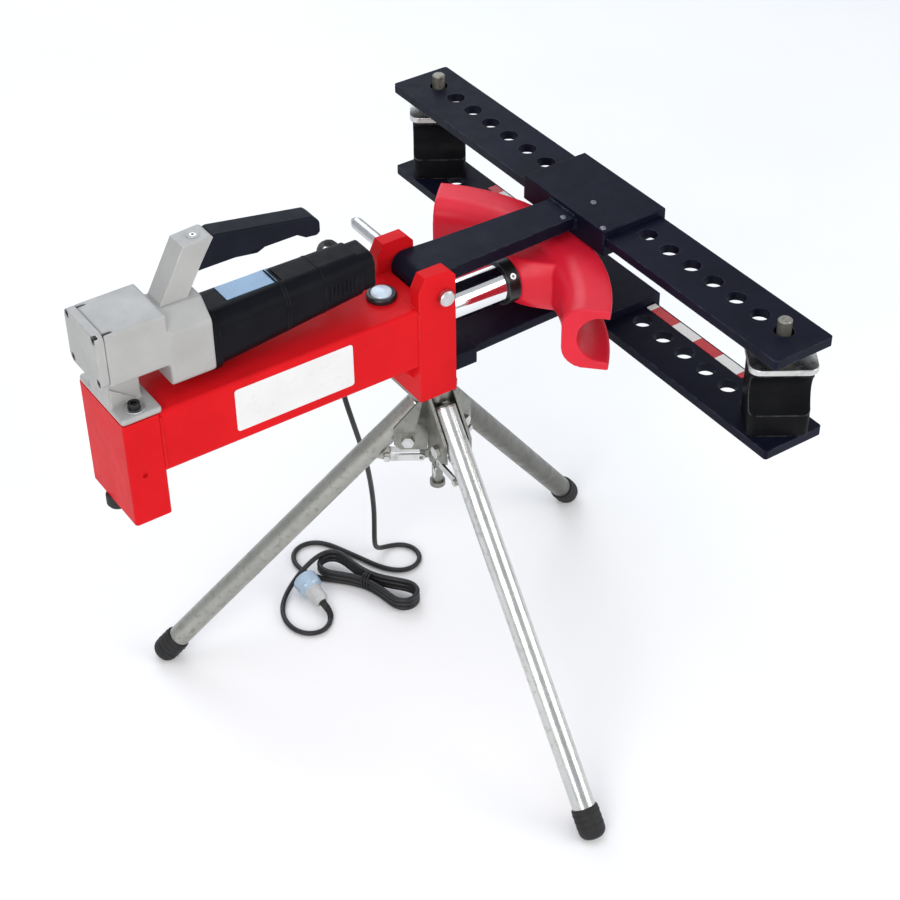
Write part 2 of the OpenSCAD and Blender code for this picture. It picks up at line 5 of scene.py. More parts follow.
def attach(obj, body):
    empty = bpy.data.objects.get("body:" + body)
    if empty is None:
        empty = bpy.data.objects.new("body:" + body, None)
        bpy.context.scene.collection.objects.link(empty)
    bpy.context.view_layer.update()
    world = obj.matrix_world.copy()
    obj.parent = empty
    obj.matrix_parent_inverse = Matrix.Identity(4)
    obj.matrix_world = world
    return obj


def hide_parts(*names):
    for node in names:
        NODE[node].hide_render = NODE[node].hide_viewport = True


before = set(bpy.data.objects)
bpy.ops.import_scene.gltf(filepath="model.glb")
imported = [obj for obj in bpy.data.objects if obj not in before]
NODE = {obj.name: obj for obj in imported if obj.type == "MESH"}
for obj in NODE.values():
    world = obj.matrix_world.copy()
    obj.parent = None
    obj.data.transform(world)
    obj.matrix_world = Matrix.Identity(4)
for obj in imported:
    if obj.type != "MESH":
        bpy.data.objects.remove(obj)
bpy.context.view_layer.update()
OX, OY, OZ = 0.2947, 0.0052, 0.642


def P(x, y, z):
    """A point written in millimetres from the middle of the upper wing's hole row."""
    return Vector((x / 1000 + OX, y / 1000 + OY, z / 1000 + OZ))


def link(o):
    bpy.context.scene.collection.objects.link(o)
    return o


# ---------------------------------------------------------------- camera
right = Vector((0.8272, -0.5618, -0.0102)).normalized()
look = Vector((0.4320, 0.6475, -0.6278)).normalized()
up = right.cross(look).normalized()
cam = bpy.data.cameras.new("camera")
cam.sensor_width = 36.0
cam.lens = 79.79
cam.clip_end = 50
camera = link(bpy.data.objects.new("camera", cam))
rot = Matrix((right, up, -look)).transposed()
camera.matrix_world = Matrix.Translation(P(-1335.76, -1667.92, 1315.84)) @ rot.to_4x4()
bpy.context.scene.camera = camera


# ---------------------------------------------------------------- materials
def material(name, col, rough=0.4, metal=0.0, var=0.10, vscale=14, rvar=0.06, rscale=60,
             bump=0.05, bscale=500, bdist=0.0004, coat=0.0, coat_r=0.08, spec=0.5,
             wear=None, wear_amt=0.5, wear_r=0.0022, stretch=None, fleck=None, dirt=None, sheen=0.0):
    """Principled surface whose colour, roughness and bump come from object-space noise."""
    m = bpy.data.materials.new(name)
    m.use_nodes = True
    nt = m.node_tree
    n, l = nt.nodes, nt.links
    bs = n["Principled BSDF"]
    bs.inputs["Metallic"].default_value = metal
    bs.inputs["Coat Weight"].default_value = coat
    bs.inputs["Coat Roughness"].default_value = coat_r
    bs.inputs["Specular IOR Level"].default_value = spec
    if sheen:
        bs.inputs["Sheen Weight"].default_value = sheen
    tc = n.new("ShaderNodeTexCoord")
    src = tc.outputs["Object"]
    fine = src
    if stretch:
        mp = n.new("ShaderNodeMapping")
        mp.inputs["Scale"].default_value = stretch
        l.new(src, mp.inputs["Vector"])
        fine = mp.outputs["Vector"]

    def noise(scale, vec, detail=4.0, rgh=0.55):
        t = n.new("ShaderNodeTexNoise")
        t.inputs["Scale"].default_value = scale
        t.inputs["Detail"].default_value = detail
        t.inputs["Roughness"].default_value = rgh
        l.new(vec, t.inputs["Vector"])
        return t.outputs["Fac"]

    def span(sock, a, b, lo, hi):
        r = n.new("ShaderNodeMapRange")
        r.clamp = True
        for k, v in zip(("From Min", "From Max", "To Min", "To Max"), (a, b, lo, hi)):
            r.inputs[k].default_value = v
        l.new(sock, r.inputs["Value"])
        return r.outputs["Result"]

    def mix(fac, a, b):
        x = n.new("ShaderNodeMix")
        x.data_type = "RGBA"
        l.new(fac, x.inputs["Factor"])
        for s, v in (("A", a), ("B", b)):
            sock = [i for i in x.inputs if i.name == s and i.type == "RGBA"][0]
            if hasattr(v, "links"):
                l.new(v, sock)
            else:
                sock.default_value = (*v, 1.0)
        return [o for o in x.outputs if o.type == "RGBA"][0]

    dark = [c * (1 - var) for c in col]
    lite = [min(1.0, c * (1 + var) + 0.004 * var) for c in col]
    big = noise(vscale, src)
    colour = mix(span(big, 0.32, 0.68, 0, 1), dark, lite)
    if fleck:
        fcol, fscale, flo, fhi = fleck
        colour = mix(span(noise(fscale, fine, 2.0), flo, fhi, 0, 1), colour, fcol)
    if dirt:
        dcol, dscale, amt = dirt
        colour = mix(span(noise(dscale, src, 6.0, 0.65), 0.52, 0.80, 0, amt), colour, dcol)
    if wear:
        bv = n.new("ShaderNodeBevel")
        bv.samples = 4
        bv.inputs["Radius"].default_value = wear_r
        ge = n.new("ShaderNodeNewGeometry")
        dt = n.new("ShaderNodeVectorMath")
        dt.operation = "DOT_PRODUCT"
        l.new(bv.outputs["Normal"], dt.inputs[0])
        l.new(ge.outputs["Normal"], dt.inputs[1])
        edge = span(dt.outputs["Value"], 0.90, 0.995, 1, 0)
        ml = n.new("ShaderNodeMath")
        ml.operation = "MULTIPLY"
        l.new(edge, ml.inputs[0])
        l.new(span(noise(70, src, 5.0), 0.42, 0.66, 0, wear_amt), ml.inputs[1])
        colour = mix(ml.outputs["Value"], colour, wear)
    l.new(colour, bs.inputs["Base Color"])
    l.new(span(noise(rscale, fine), 0.3, 0.7, max(0.03, rough - rvar), min(1.0, rough + rvar)), bs.inputs["Roughness"])
    bp = n.new("ShaderNodeBump")
    bp.inputs["Strength"].default_value = bump
    bp.inputs["Distance"].default_value = bdist
    l.new(noise(bscale, fine, 3.0), bp.inputs["Height"])
    l.new(bp.outputs["Normal"], bs.inputs["Normal"])
    return m


RED = material("red_enamel", (0.60, 0.008, 0.012), rough=0.36, var=0.06, vscale=9, rvar=0.05, bump=0.10, bscale=320, bdist=0.0003, spec=0.05,
               coat=0.0, coat_r=0.10, wear=(0.70, 0.05, 0.05), wear_amt=0.5, dirt=((0.36, 0.006, 0.010), 22, 0.22))
FORMER = material("former_enamel", (0.66, 0.011, 0.030), rough=0.38, var=0.08, vscale=11, rvar=0.06, bump=0.16, bscale=120, bdist=0.0006, spec=0.26,
                  coat=0.05, coat_r=0.24, wear=(0.86, 0.12, 0.16), wear_amt=0.55, dirt=((0.50, 0.010, 0.030), 18, 0.25))
FRAME = material("frame_enamel", (0.0045, 0.0053, 0.0145), rough=0.42, var=0.22, vscale=12, rvar=0.07, bump=0.16, bscale=420, bdist=0.0003, spec=0.075,
                 coat=0.0, coat_r=0.22, wear=(0.07, 0.08, 0.11), wear_amt=0.7, dirt=((0.018, 0.020, 0.032), 26, 0.30))
ALU = material("cast_aluminium", (0.39, 0.385, 0.375), rough=0.48, metal=0.15, var=0.06, vscale=20, rvar=0.08, bump=0.45, bscale=900, bdist=0.0003, spec=0.32,
               wear=(0.74, 0.73, 0.71), wear_amt=0.55, fleck=((0.33, 0.325, 0.315), 1400, 0.60, 0.74), dirt=((0.27, 0.265, 0.25), 30, 0.20))
MOTOR = material("motor_plastic", (0.0042, 0.0045, 0.0068), rough=0.42, var=0.18, vscale=25, rvar=0.07, bump=0.30, bscale=1600, bdist=0.0002, spec=0.07,
                 wear=(0.04, 0.04, 0.045), wear_amt=0.45)
GRIP = material("grip_plastic", (0.0050, 0.0060, 0.0130), rough=0.44, var=0.20, vscale=30, rvar=0.07, bump=0.50, bscale=1300, bdist=0.0003, spec=0.09,
                wear=(0.05, 0.055, 0.075), wear_amt=0.45)
LABEL = material("label_foil", (0.13, 0.285, 0.48), rough=0.26, var=0.10, vscale=40, rvar=0.05, bump=0.05, bscale=700, coat=0.4,
                 fleck=((0.11, 0.28, 0.50), 60, 0.56, 0.70))
PLATE = material("plate_white", (0.70, 0.69, 0.68), rough=0.30, var=0.03, vscale=22, rvar=0.05, bump=0.05, bscale=500, coat=0.3,
                 dirt=((0.66, 0.64, 0.60), 35, 0.22))
CAP = material("cap_plastic", (0.62, 0.74, 0.84), rough=0.22, var=0.06, vscale=50, rvar=0.05, bump=0.08, bscale=900, coat=0.5)
RING = material("ring_plastic", (0.010, 0.011, 0.014), rough=0.38, var=0.15, vscale=50, bump=0.25, bscale=1500)
BLACK = material("black_steel", (0.016, 0.0165, 0.018), rough=0.33, metal=0.55, var=0.2, vscale=40, rvar=0.1, bump=0.2, bscale=700,
                 wear=(0.24, 0.24, 0.25), wear_amt=0.6)
SADDLE = material("saddle_black", (0.0045, 0.0046, 0.0056), rough=0.46, metal=0.0, spec=0.06, var=0.25, vscale=26, rvar=0.1, bump=0.4, bscale=500,
                  wear=(0.20, 0.20, 0.205), wear_amt=0.7)
STEEL = material("turned_steel", (0.58, 0.585, 0.59), rough=0.30, metal=1.0, var=0.10, vscale=60, rvar=0.09, bump=0.12, bscale=500,
                 fleck=((0.42, 0.42, 0.43), 260, 0.60, 0.75))
PINS = material("pin_steel", (0.30, 0.285, 0.245), rough=0.42, metal=0.8, var=0.18, vscale=70, rvar=0.1, bump=0.3, bscale=700,
                fleck=((0.15, 0.13, 0.10), 240, 0.56, 0.72))
ZINC = material("zinc_plate", (0.60, 0.605, 0.59), rough=0.32, metal=1.0, var=0.13, vscale=30, rvar=0.10, bump=0.18, bscale=260,
                fleck=((0.46, 0.465, 0.44), 90, 0.52, 0.72), dirt=((0.36, 0.35, 0.31), 45, 0.30))
# Copy of the zinc plate darkened as painted shade, for the tripod head and collar in the shade under the machine.
ZINC_SHADED = material("zinc_painted_shade", (0.27, 0.272, 0.25), rough=0.42, metal=1.0, var=0.14, vscale=30, rvar=0.10, bump=0.18, bscale=260,
                fleck=((0.20, 0.20, 0.18), 90, 0.52, 0.72), dirt=((0.13, 0.125, 0.10), 45, 0.35))
RIVET = material("rivet_head", (0.16, 0.165, 0.20), rough=0.42, metal=0.7, var=0.18, vscale=90, rvar=0.1, bump=0.2, bscale=900)
TUBE = material("leg_tube", (0.60, 0.605, 0.59), rough=0.26, metal=1.0, var=0.08, vscale=20, rvar=0.08, bump=0.10, bscale=300,
                fleck=((0.46, 0.465, 0.44), 120, 0.54, 0.74), dirt=((0.36, 0.35, 0.31), 30, 0.28))
# Copy of the leg tube darkened to mid grey as painted shade, for the left leg.
TUBE_SHADED = material("leg_tube_painted_shade", (0.36, 0.36, 0.33), rough=0.34, metal=1.0, var=0.10, vscale=20, rvar=0.08, bump=0.12, bscale=300,
                     fleck=((0.27, 0.27, 0.24), 120, 0.54, 0.74), dirt=((0.21, 0.205, 0.17), 30, 0.35))
# Copy of the leg tube darkened further as painted shade, for the back leg standing in the shade under the machine.
TUBE_DEEP_SHADE = material("leg_tube_painted_deep_shade", (0.13, 0.13, 0.115), rough=0.36, metal=1.0, var=0.10, vscale=20, rvar=0.08, bump=0.12, bscale=300,
                     fleck=((0.10, 0.10, 0.085), 120, 0.54, 0.74), dirt=((0.08, 0.077, 0.062), 30, 0.35))
CHROME = material("hard_chrome", (0.80, 0.81, 0.82), rough=0.09, metal=1.0, var=0.03, vscale=20, rvar=0.04, rscale=200, bump=0.04, bscale=300,
                  stretch=(6, 1, 1))
BRONZE = material("bronze", (0.46, 0.30, 0.13), rough=0.38, metal=1.0, var=0.12, vscale=60, bump=0.12, bscale=500)
RUBBER = material("rubber", (0.011, 0.011, 0.0115), rough=0.62, var=0.25, vscale=50, rvar=0.1, bump=0.5, bscale=900, spec=0.35,
                  dirt=((0.06, 0.058, 0.052), 60, 0.35))
CORD = material("cord_sheath", (0.0095, 0.0095, 0.0105), rough=0.45, var=0.2, vscale=60, rvar=0.08, bump=0.25, bscale=700, spec=0.45)


# red and white tape: blocks along Y
def tape_material():
    m = material("marker_tape", (0.80, 0.80, 0.78), rough=0.30, var=0.04, vscale=30, bump=0.06, bscale=600, coat=0.3)
    nt = m.node_tree
    n, l = nt.nodes, nt.links
    bs = n["Principled BSDF"]
    old = bs.inputs["Base Color"].links[0].from_socket
    tc = n.new("ShaderNodeTexCoord")
    sx = n.new("ShaderNodeSeparateXYZ")
    l.new(tc.outputs["Object"], sx.inputs[0])
    w = n.new("ShaderNodeMath")
    w.operation = "PINGPONG"
    w.inputs[1].default_value = 0.041
    b = n.new("ShaderNodeMath")
    b.operation = "ABSOLUTE"
    l.new(sx.outputs["Y"], b.inputs[0])
    a = n.new("ShaderNodeMath")
    a.operation = "SUBTRACT"
    a.inputs[1].default_value = 0.1085
    l.new(b.outputs[0], a.inputs[0])
    l.new(a.outputs[0], w.inputs[0])
    g = n.new("ShaderNodeMath")
    g.operation = "LESS_THAN"
    g.inputs[1].default_value = 0.0205
    l.new(w.outputs[0], g.inputs[0])
    x = n.new("ShaderNodeMix")
    x.data_type = "RGBA"
    l.new(g.outputs[0], x.inputs["Factor"])
    ins = [i for i in x.inputs if i.type == "RGBA"]
    l.new(old, ins[0])
    ins[1].default_value = (0.52, 0.012, 0.02, 1)
    l.new([o for o in x.outputs if o.type == "RGBA"][0], bs.inputs["Base Color"])
    return m


TAPE = tape_material()

# ---------------------------------------------------------------- cord
CD = 0.0072
FZ = -642 + 3.8
H = -642
drop = [(-349, 44, 31), (-349, 61, 30), (-349, 82, 19), (-348, 93, -9), (-345, 95, -60), (-341, 94, -115), (-333, 92, -170), (-322, 92, -232),
        (-305, 98, -295), (-287, 110, -353), (-272, 126, -400), (-257, 145, -450), (-244, 163, -505), (-235, 179, -556), (-228, 192, -594), (-217, 206, -625),
        (-197, 214, FZ), (-175, 208, FZ), (-162, 189, FZ), (-165, 166, FZ), (-184, 152, FZ), (-207, 157, FZ), (-226, 180, FZ), (-240, 214, FZ),
        (-252, 242, FZ), (-263, 268, FZ), (-277, 284, FZ), (-298, 289, FZ), (-317, 280, FZ), (-326, 260, FZ), (-323, 235, FZ), (-312, 208, FZ)]
tail = [(-308, 231, H + 25), (-331, 225, H + 20), (-355, 216, H + 11), (-378, 201, FZ + 1), (-394, 178, FZ), (-399, 151, FZ), (-391, 126, FZ),
        (-370, 113, FZ), (-349, 119, FZ), (-339, 137, FZ + 1), (-338, 146, H + 8.7)]


def route(p, k=10):
    p = [Vector(q) for q in p]
    n, out = len(p), []
    for i in range(n - 1):
        a, b, c, d = p[max(i - 1, 0)], p[i], p[i + 1], p[min(i + 2, n - 1)]
        for j in range(k):
            t = j / k
            out.append(0.5 * (2 * b + (c - a) * t + (2 * a - 5 * b + 4 * c - d) * t * t + (3 * b - a - 3 * c + d) * t ** 3))
    return out + [p[-1]]


def hank(turns=2.86, step=7.4):
    """Doubled cord drawn in at the tie: one run each side, a round loop at each end, each turn on the last."""
    ca, sa = math.cos(math.radians(-65.2)), math.sin(math.radians(-65.2))
    one = []
    for i in range(25):
        t = i / 24
        a = -62 + 124 * t
        b = -(5.0 + 17.0 * (abs(2 * t - 1)) ** 1.6)
        one.append((a, b))
    for i in range(1, 24):
        g = math.radians(-90 + 180 * i / 24)
        one.append((62 + 22 * math.cos(g), 22 * math.sin(g)))
    for i in range(25):
        t = i / 24
        one.append((62 - 124 * t, 5.0 + 17.0 * (abs(2 * t - 1)) ** 1.6))
    for i in range(1, 24):
        g = math.radians(90 + 180 * i / 24)
        one.append((-62 + 22 * math.cos(g), 22 * math.sin(g)))
    total = len(one)
    out = []
    for i in range(int(total * turns) + 1):
        a, b = one[i % total]
        out.append(Vector((-262 + a * ca - b * sa, 158 + a * sa + b * ca, FZ + step * i / total)))
    return out


def resample(q, step):
    out, carry = [q[0].copy()], 0.0
    for a, b in zip(q, q[1:]):
        d = (b - a).length
        s = step - carry
        while s <= d:
            out.append(a.lerp(b, s / d))
            s += step
        carry = d - (s - step)
    if (out[-1] - q[-1]).length > step * 0.4:
        out.append(q[-1].copy())
    else:
        out[-1] = q[-1].copy()
    return out


def smooth(q, rounds, keep=8):
    q = [v.copy() for v in q]
    for _ in range(rounds):
        r = [v.copy() for v in q]
        for i in range(keep, len(q) - keep):
            r[i] = q[i] * 0.5 + (q[i - 1] + q[i + 1]) * 0.25
        q = r
    for v in q:
        v.z = max(v.z, FZ)
    return q


line = route(drop)[:-3] + hank()[2:] + route(tail)[3:]
line = smooth(resample(line, 3.0), 40, keep=6)
cu = bpy.data.curves.new("mains_cord", "CURVE")
cu.dimensions = "3D"
cu.bevel_depth = CD / 2
cu.bevel_resolution = 4
sp = cu.splines.new("POLY")
sp.points.add(len(line) - 1)
for i, v in enumerate(line):
    w = P(*v)
    sp.points[i].co = (w.x, w.y, w.z, 1)
sp.use_smooth = True
cord = link(bpy.data.objects.new("mains_cord", cu))
cord.data.materials.append(CORD)
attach(cord, "frame")
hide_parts("cord_drop", "cord_hank", "cord_tail")

# ---------------------------------------------------------------- mesh helpers
def smooth_group():
    """Shades smooth, with sharp edges kept above an angle."""
    g = bpy.data.node_groups.new("shade", "GeometryNodeTree")
    g.interface.new_socket("Geometry", in_out="INPUT", socket_type="NodeSocketGeometry")
    g.interface.new_socket("Geometry", in_out="OUTPUT", socket_type="NodeSocketGeometry")
    n, l = g.nodes, g.links
    i, o = n.new("NodeGroupInput"), n.new("NodeGroupOutput")
    ea = n.new("GeometryNodeInputMeshEdgeAngle")
    cp = n.new("FunctionNodeCompare")
    cp.data_type = "FLOAT"
    cp.operation = "LESS_THAN"
    cp.inputs["B"].default_value = math.radians(34)
    l.new(ea.outputs["Unsigned Angle"], cp.inputs["A"])
    s1, s2 = n.new("GeometryNodeSetShadeSmooth"), n.new("GeometryNodeSetShadeSmooth")
    s1.domain, s2.domain = "FACE", "EDGE"
    l.new(i.outputs[0], s1.inputs["Geometry"])
    l.new(s1.outputs[0], s2.inputs["Geometry"])
    l.new(cp.outputs[0], s2.inputs["Shade Smooth"])
    l.new(s2.outputs[0], o.inputs[0])
    return g


SHADE = smooth_group()


def soften(o, width=1.0, seg=3, angle=34, cad=False):
    """Rounds the sharp edges of a piece by width millimetres."""
    if cad:
        w = o.modifiers.new("weld", "WELD")
        w.merge_threshold = 2e-5
        d = o.modifiers.new("flat", "DECIMATE")
        d.decimate_type = "DISSOLVE"
        d.angle_limit = math.radians(0.4)
    if width:
        b = o.modifiers.new("round", "BEVEL")
        b.width = width / 1000
        b.segments = seg
        b.limit_method = "ANGLE"
        b.angle_limit = math.radians(angle)
        b.use_clamp_overlap = True
        b.miter_outer = "MITER_ARC"
    s = o.modifiers.new("shade", "NODES")
    s.node_group = SHADE
    wn = o.modifiers.new("normals", "WEIGHTED_NORMAL")
    wn.keep_sharp = True
    wn.weight = 60


def cast(o, voxel, rounds):
    """Rounds every edge of a casting, as a mould leaves it."""
    r = o.modifiers.new("skin", "REMESH")
    r.mode = "VOXEL"
    r.voxel_size = voxel / 1000
    r.use_smooth_shade = True
    s = o.modifiers.new("soft", "SMOOTH")
    s.factor = 0.5
    s.iterations = rounds


def piece(name, bm, mat, body, width=0.0, seg=2):
    me = bpy.data.meshes.new(name)
    bmesh.ops.recalc_face_normals(bm, faces=bm.faces)
    bm.to_mesh(me)
    bm.free()
    o = link(bpy.data.objects.new(name, me))
    me.materials.append(mat)
    soften(o, width, seg)
    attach(o, body)
    return o


def axes(axis):
    z = Vector(axis).normalized()
    x = z.orthogonal().normalized()
    return x, z.cross(x), z


def add_lathe(bm, prof, origin, axis, seg=40):
    """prof: (radius, height) in millimetres, from one end of the axis to the other."""
    x, y, z = axes(axis)
    rings = []
    shut = prof[0] == prof[-1]
    for r, h in (prof[:-1] if shut else prof):
        c = origin + z * h / 1000
        if r < 1e-6:
            rings.append([bm.verts.new(c)])
        else:
            rings.append([bm.verts.new(c + (x * math.cos(t) + y * math.sin(t)) * r / 1000) for t in (2 * math.pi * i / seg for i in range(seg))])
    for a, b in zip(rings, rings[1:] + (rings[:1] if shut else [])):
        for i in range(seg):
            j = (i + 1) % seg
            q = [a[i % len(a)], a[j % len(a)], b[j % len(b)], b[i % len(b)]]
            q = list(dict.fromkeys(q))
            if len(q) > 2:
                bm.faces.new(q)


def lathe(name, prof, origin, axis, mat, body, seg=40, width=0.0):
    bm = bmesh.new()
    add_lathe(bm, prof, origin, axis, seg)
    return piece(name, bm, mat, body, width)


def add_box(bm, lo, hi, m=None):
    vs = [bm.verts.new(P(*[(lo, hi)[k >> i & 1][i] for i in range(3)])) for k in range(8)]
    if m is not None:
        for v in vs:
            v.co = m @ v.co
    for f in ((0, 1, 3, 2), (4, 6, 7, 5), (0, 4, 5, 1), (2, 3, 7, 6), (0, 2, 6, 4), (1, 5, 7, 3)):
        bm.faces.new([vs[i] for i in f])


def add_tube(bm, pts, rad, seg=10, closed=False, wob=None):
    """Swept round bead along points in millimetres; wob gives a ripple of the radius."""
    pts = [P(*p) for p in pts]
    n = len(pts)
    prev = None
    rings = []
    for i, p in enumerate(pts):
        a = pts[(i - 1) % n] if (closed or i) else p
        b = pts[(i + 1) % n] if (closed or i < n - 1) else p
        t = (b - a).normalized()
        u = t.orthogonal().normalized() if prev is None else (prev - t * prev.dot(t)).normalized()
        prev = u
        w = t.cross(u)
        r = (rad[i] if isinstance(rad, list) else rad) / 1000 * (1 + (wob * math.sin(i * 1.9) if wob else 0))
        rings.append([bm.verts.new(p + (u * math.cos(g) + w * math.sin(g)) * r) for g in (2 * math.pi * k / seg for k in range(seg))])
    m = n if closed else n - 1
    for i in range(m):
        a, b = rings[i], rings[(i + 1) % n]
        for k in range(seg):
            j = (k + 1) % seg
            bm.faces.new((a[k], a[j], b[j], b[k]))
    if not closed:
        bm.faces.new(rings[0][::-1])
        bm.faces.new(rings[-1])


def steps(a, b, d=2.0):
    a, b = Vector(a), Vector(b)
    n = max(2, int((b - a).length / d))
    return [tuple(a.lerp(b, i / n)) for i in range(n + 1)]


# ---------------------------------------------------------------- CAD surfaces
LOOK = {
    RED: ["tank_body", "rear_leg", "head_block"], FORMER: ["former"],
    FRAME: ["lower_arm", "lower_wing", "upper_arm", "upper_sleeve", "upper_wing"],
    TAPE: ["marker_strips"], ALU: ["gearbox_housing", "gearbox_cover", "handle_neck"],
    MOTOR: ["motor_housing", "motor_end_cap", "trigger"], GRIP: ["grip"], LABEL: ["motor_label"], PLATE: ["name_plate"],
    CAP: ["filler_cap"], RING: ["filler_ring"], BLACK: ["ram_collar", "gearbox_screws"], SADDLE: ["saddle_left", "saddle_right"],
    STEEL: ["neck_screw", "collar_screw", "frame_pin", "cylinder_tube", "piston", "pump_block", "motor_bearings", "reduction_gear", "armature"],
    # The tripod head and slider collar take the painted-shade zinc copy.
    PINS: ["support_pin_left", "support_pin_right"], RIVET: ["sleeve_rivets"], ZINC_SHADED: ["tripod_head", "slider_collar"],
    ZINC: ["leg_bolts", "flange_left", "flange_right", "brace_left", "brace_front", "brace_back"],
    # One galvanised tube for all three legs: the front leg has the plain tone, the left and back legs the painted-shade
    # copies.
    TUBE: ["leg_front"], TUBE_SHADED: ["leg_left"], TUBE_DEEP_SHADE: ["leg_back"],
    CHROME: ["ram_rod"], BRONZE: ["rod_gland", "stator"], RUBBER: ["rear_bumper", "foot_left", "foot_front", "foot_back"],
    CORD: ["cord_gland", "cord_drop", "cord_hank", "cord_tail", "plug"],
}
for mat, names in LOOK.items():
    for nm in names:
        o = NODE[nm]
        o.data.materials.clear()
        o.data.materials.append(mat)

ROUND = {"tank_body": 3.0, "rear_leg": 2.5, "head_block": 2.2, "lower_arm": 1.5, "lower_wing": 1.2, "upper_arm": 2.0,
         "upper_sleeve": 1.5, "upper_wing": 1.2, "handle_neck": 4.0, "grip": 4.0,
         "motor_housing": 1.5, "motor_end_cap": 3.0, "trigger": 1.5, "flange_left": 2.5, "flange_right": 2.5, "saddle_left": 1.5, "saddle_right": 1.5,
         "ram_collar": 1.2, "tripod_head": 0.8, "filler_ring": 0.8, "filler_cap": 0.8, "leg_bolts": 0.6, "brace_left": 0.6, "brace_front": 0.6, "brace_back": 0.6,
         "gearbox_screws": 0.5, "slider_collar": 0.6, "name_plate": 0.3, "motor_label": 0.25, "frame_pin": 0.5, "ram_rod": 0.5}
CAST = {"former": (1.5, 14), "gearbox_housing": (1.4, 22), "gearbox_cover": (0.8, 5)}
for nm, o in NODE.items():
    if nm in CAST:
        cast(o, *CAST[nm])
    else:
        soften(o, ROUND.get(nm, 0.0), 3, cad=True)

# ---------------------------------------------------------------- plug
plug_dir = Vector((0, math.cos(math.radians(12)), math.sin(math.radians(12))))
plug_dir.rotate(Matrix.Rotation(math.radians(2), 3, "Z"))
p0 = P(-338, 146, -642 + 8.7)
PGREY = material("plug_grey", (0.50, 0.50, 0.50), rough=0.36, var=0.08, vscale=80, bump=0.2, bscale=900)
PBLUE = material("plug_blue", (0.36, 0.47, 0.58), rough=0.16, var=0.10, vscale=70, rvar=0.05, bump=0.05, bscale=400, coat=0.6)
boot = [(0, 0.2), (4.6, 0.2)] + [(4.8 + 0.35 * (i % 2), 1 + i) for i in range(11)] + [(6.4, 12.6), (7.6, 14), (0, 14)]
strain = lathe("plug_boot", boot, p0, plug_dir, CORD, "frame", 32)
body = [(0, 12.5), (8, 12.5), (10.6, 15), (11.4, 17)] + [(11.9 - 0.55 * (i % 2), 19 + 1.7 * i) for i in range(9)] + [(12, 36), (12.6, 38.5), (0, 39.5)]
pbody = lathe("plug_body", body, p0, plug_dir, PGREY, "frame", 40)
disc = [(0, 38), (12.4, 38), (16.6, 41), (17.7, 43.5), (18.0, 46), (18.0, 58.5), (17.4, 60.6), (16.2, 61.6), (14.6, 61.2), (14.0, 59.0), (13.4, 52), (0, 51.5)]
pdisc = lathe("plug_face", disc, p0, plug_dir, PBLUE, "frame", 56)
bm = bmesh.new()
px_, py_, pz_ = axes(plug_dir)
side = plug_dir.cross(Vector((0, 0, 1))).normalized()
for s in (-1, 1):
    add_lathe(bm, [(0, 51), (2.4, 51), (2.4, 60), (1.9, 61.6), (0, 62)], p0 + side * s * 0.0075, plug_dir, 20)
pins = piece("plug_pins", bm, STEEL, "frame")
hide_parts("plug")


def sleeve(name, pts, r0, r1, length, lead):
    """Ribbed taper over the first part of a cord run, starting inside what the cord comes out of."""
    d = (pts[1] - pts[0]).normalized()
    run = [pts[0] - d * lead] + pts
    run = resample(run, 0.8)
    run = run[:int((length + lead) / 0.8)]
    n = len(run)
    rad = []
    for i in range(n):
        t = i / (n - 1)
        r = r0 + (r1 - r0) * t ** 0.85
        if i % 5 in (3, 4) and 4 < i < n - 5:
            r -= 0.55
        rad.append(r)
    rad[-1] = CD * 500 + 0.1
    bm = bmesh.new()
    add_tube(bm, [tuple(v) for v in run], rad, 28)
    return piece(name, bm, RUBBER, "frame")


relief = sleeve("cord_relief", [v.copy() for v in line[:24]], 6.1, 4.3, 27.0, 6.0)
relief_end = sleeve("plug_relief", [v.copy() for v in line[:-24:-1]], 4.9, 4.1, 20.0, 1.0)

# ---------------------------------------------------------------- welds
def bead(name, runs, mat, body, rad=2.6, wob=0.16):
    bm = bmesh.new()
    for a, b in runs:
        add_tube(bm, steps(a, b, 1.6), rad, 8, wob=wob)
    return piece(name, bm, mat, body)


bead("weld_upper", [((-51.4, -25, 3.2), (-51.4, 25, 3.2)), ((-51.4, -26.4, -12), (-51.4, -26.4, 2)), ((-51.4, 26.4, -12), (-51.4, 26.4, 2))], FRAME, "upper_frame")
bead("weld_lower", [((-51.4, -25, -122.8), (-51.4, 25, -122.8)), ((-51.4, -26.4, -135), (-51.4, -26.4, -124)), ((-51.4, 26.4, -135), (-51.4, 26.4, -124)),
                    ((-207.6, -32, -122.8), (-207.6, 32, -122.8))], FRAME, "frame")
bead("weld_block", [((-247.6, -40, -119), (-247.6, 40, -119)), ((-247.6, -41, -141), (-247.6, -41, -120)), ((-247.6, 41, -141), (-247.6, 41, -120))], FRAME, "frame", 2.8)
bead("weld_body", [((-640, s * 53.6, -99), (-640, s * 53.6, -27)) for s in (-1, 1)] + [((-300, s * 53.6, -99), (-300, s * 53.6, -27)) for s in (-1, 1)]
     + [((-640, -48, -22.2), (-640, 48, -22.2)), ((-300.4, -48, -22.2), (-300.4, -37, -22.2)), ((-300.4, 37, -22.2), (-300.4, 48, -22.2)),
        ((-640, -48, -105), (-640, 48, -105))], RED, "frame", 1.7, 0.10)

# ---------------------------------------------------------------- motor
def motor_ring(x, grow):
    t = (x + 550) / 190
    h, zc, r = 36 - 8 * t + grow, 22 + 9 * t, 22 - 4 * t + grow
    pts = []
    for k in range(4):
        cy, cz = ((h - r) * (1 if k in (0, 3) else -1), (h - r) * (1 if k in (0, 1) else -1))
        for i in range(9):
            g = math.radians(90 * k + 90 * i / 8)
            pts.append((x, cy + r * math.cos(g), zc + cz + r * math.sin(g)))
    return pts


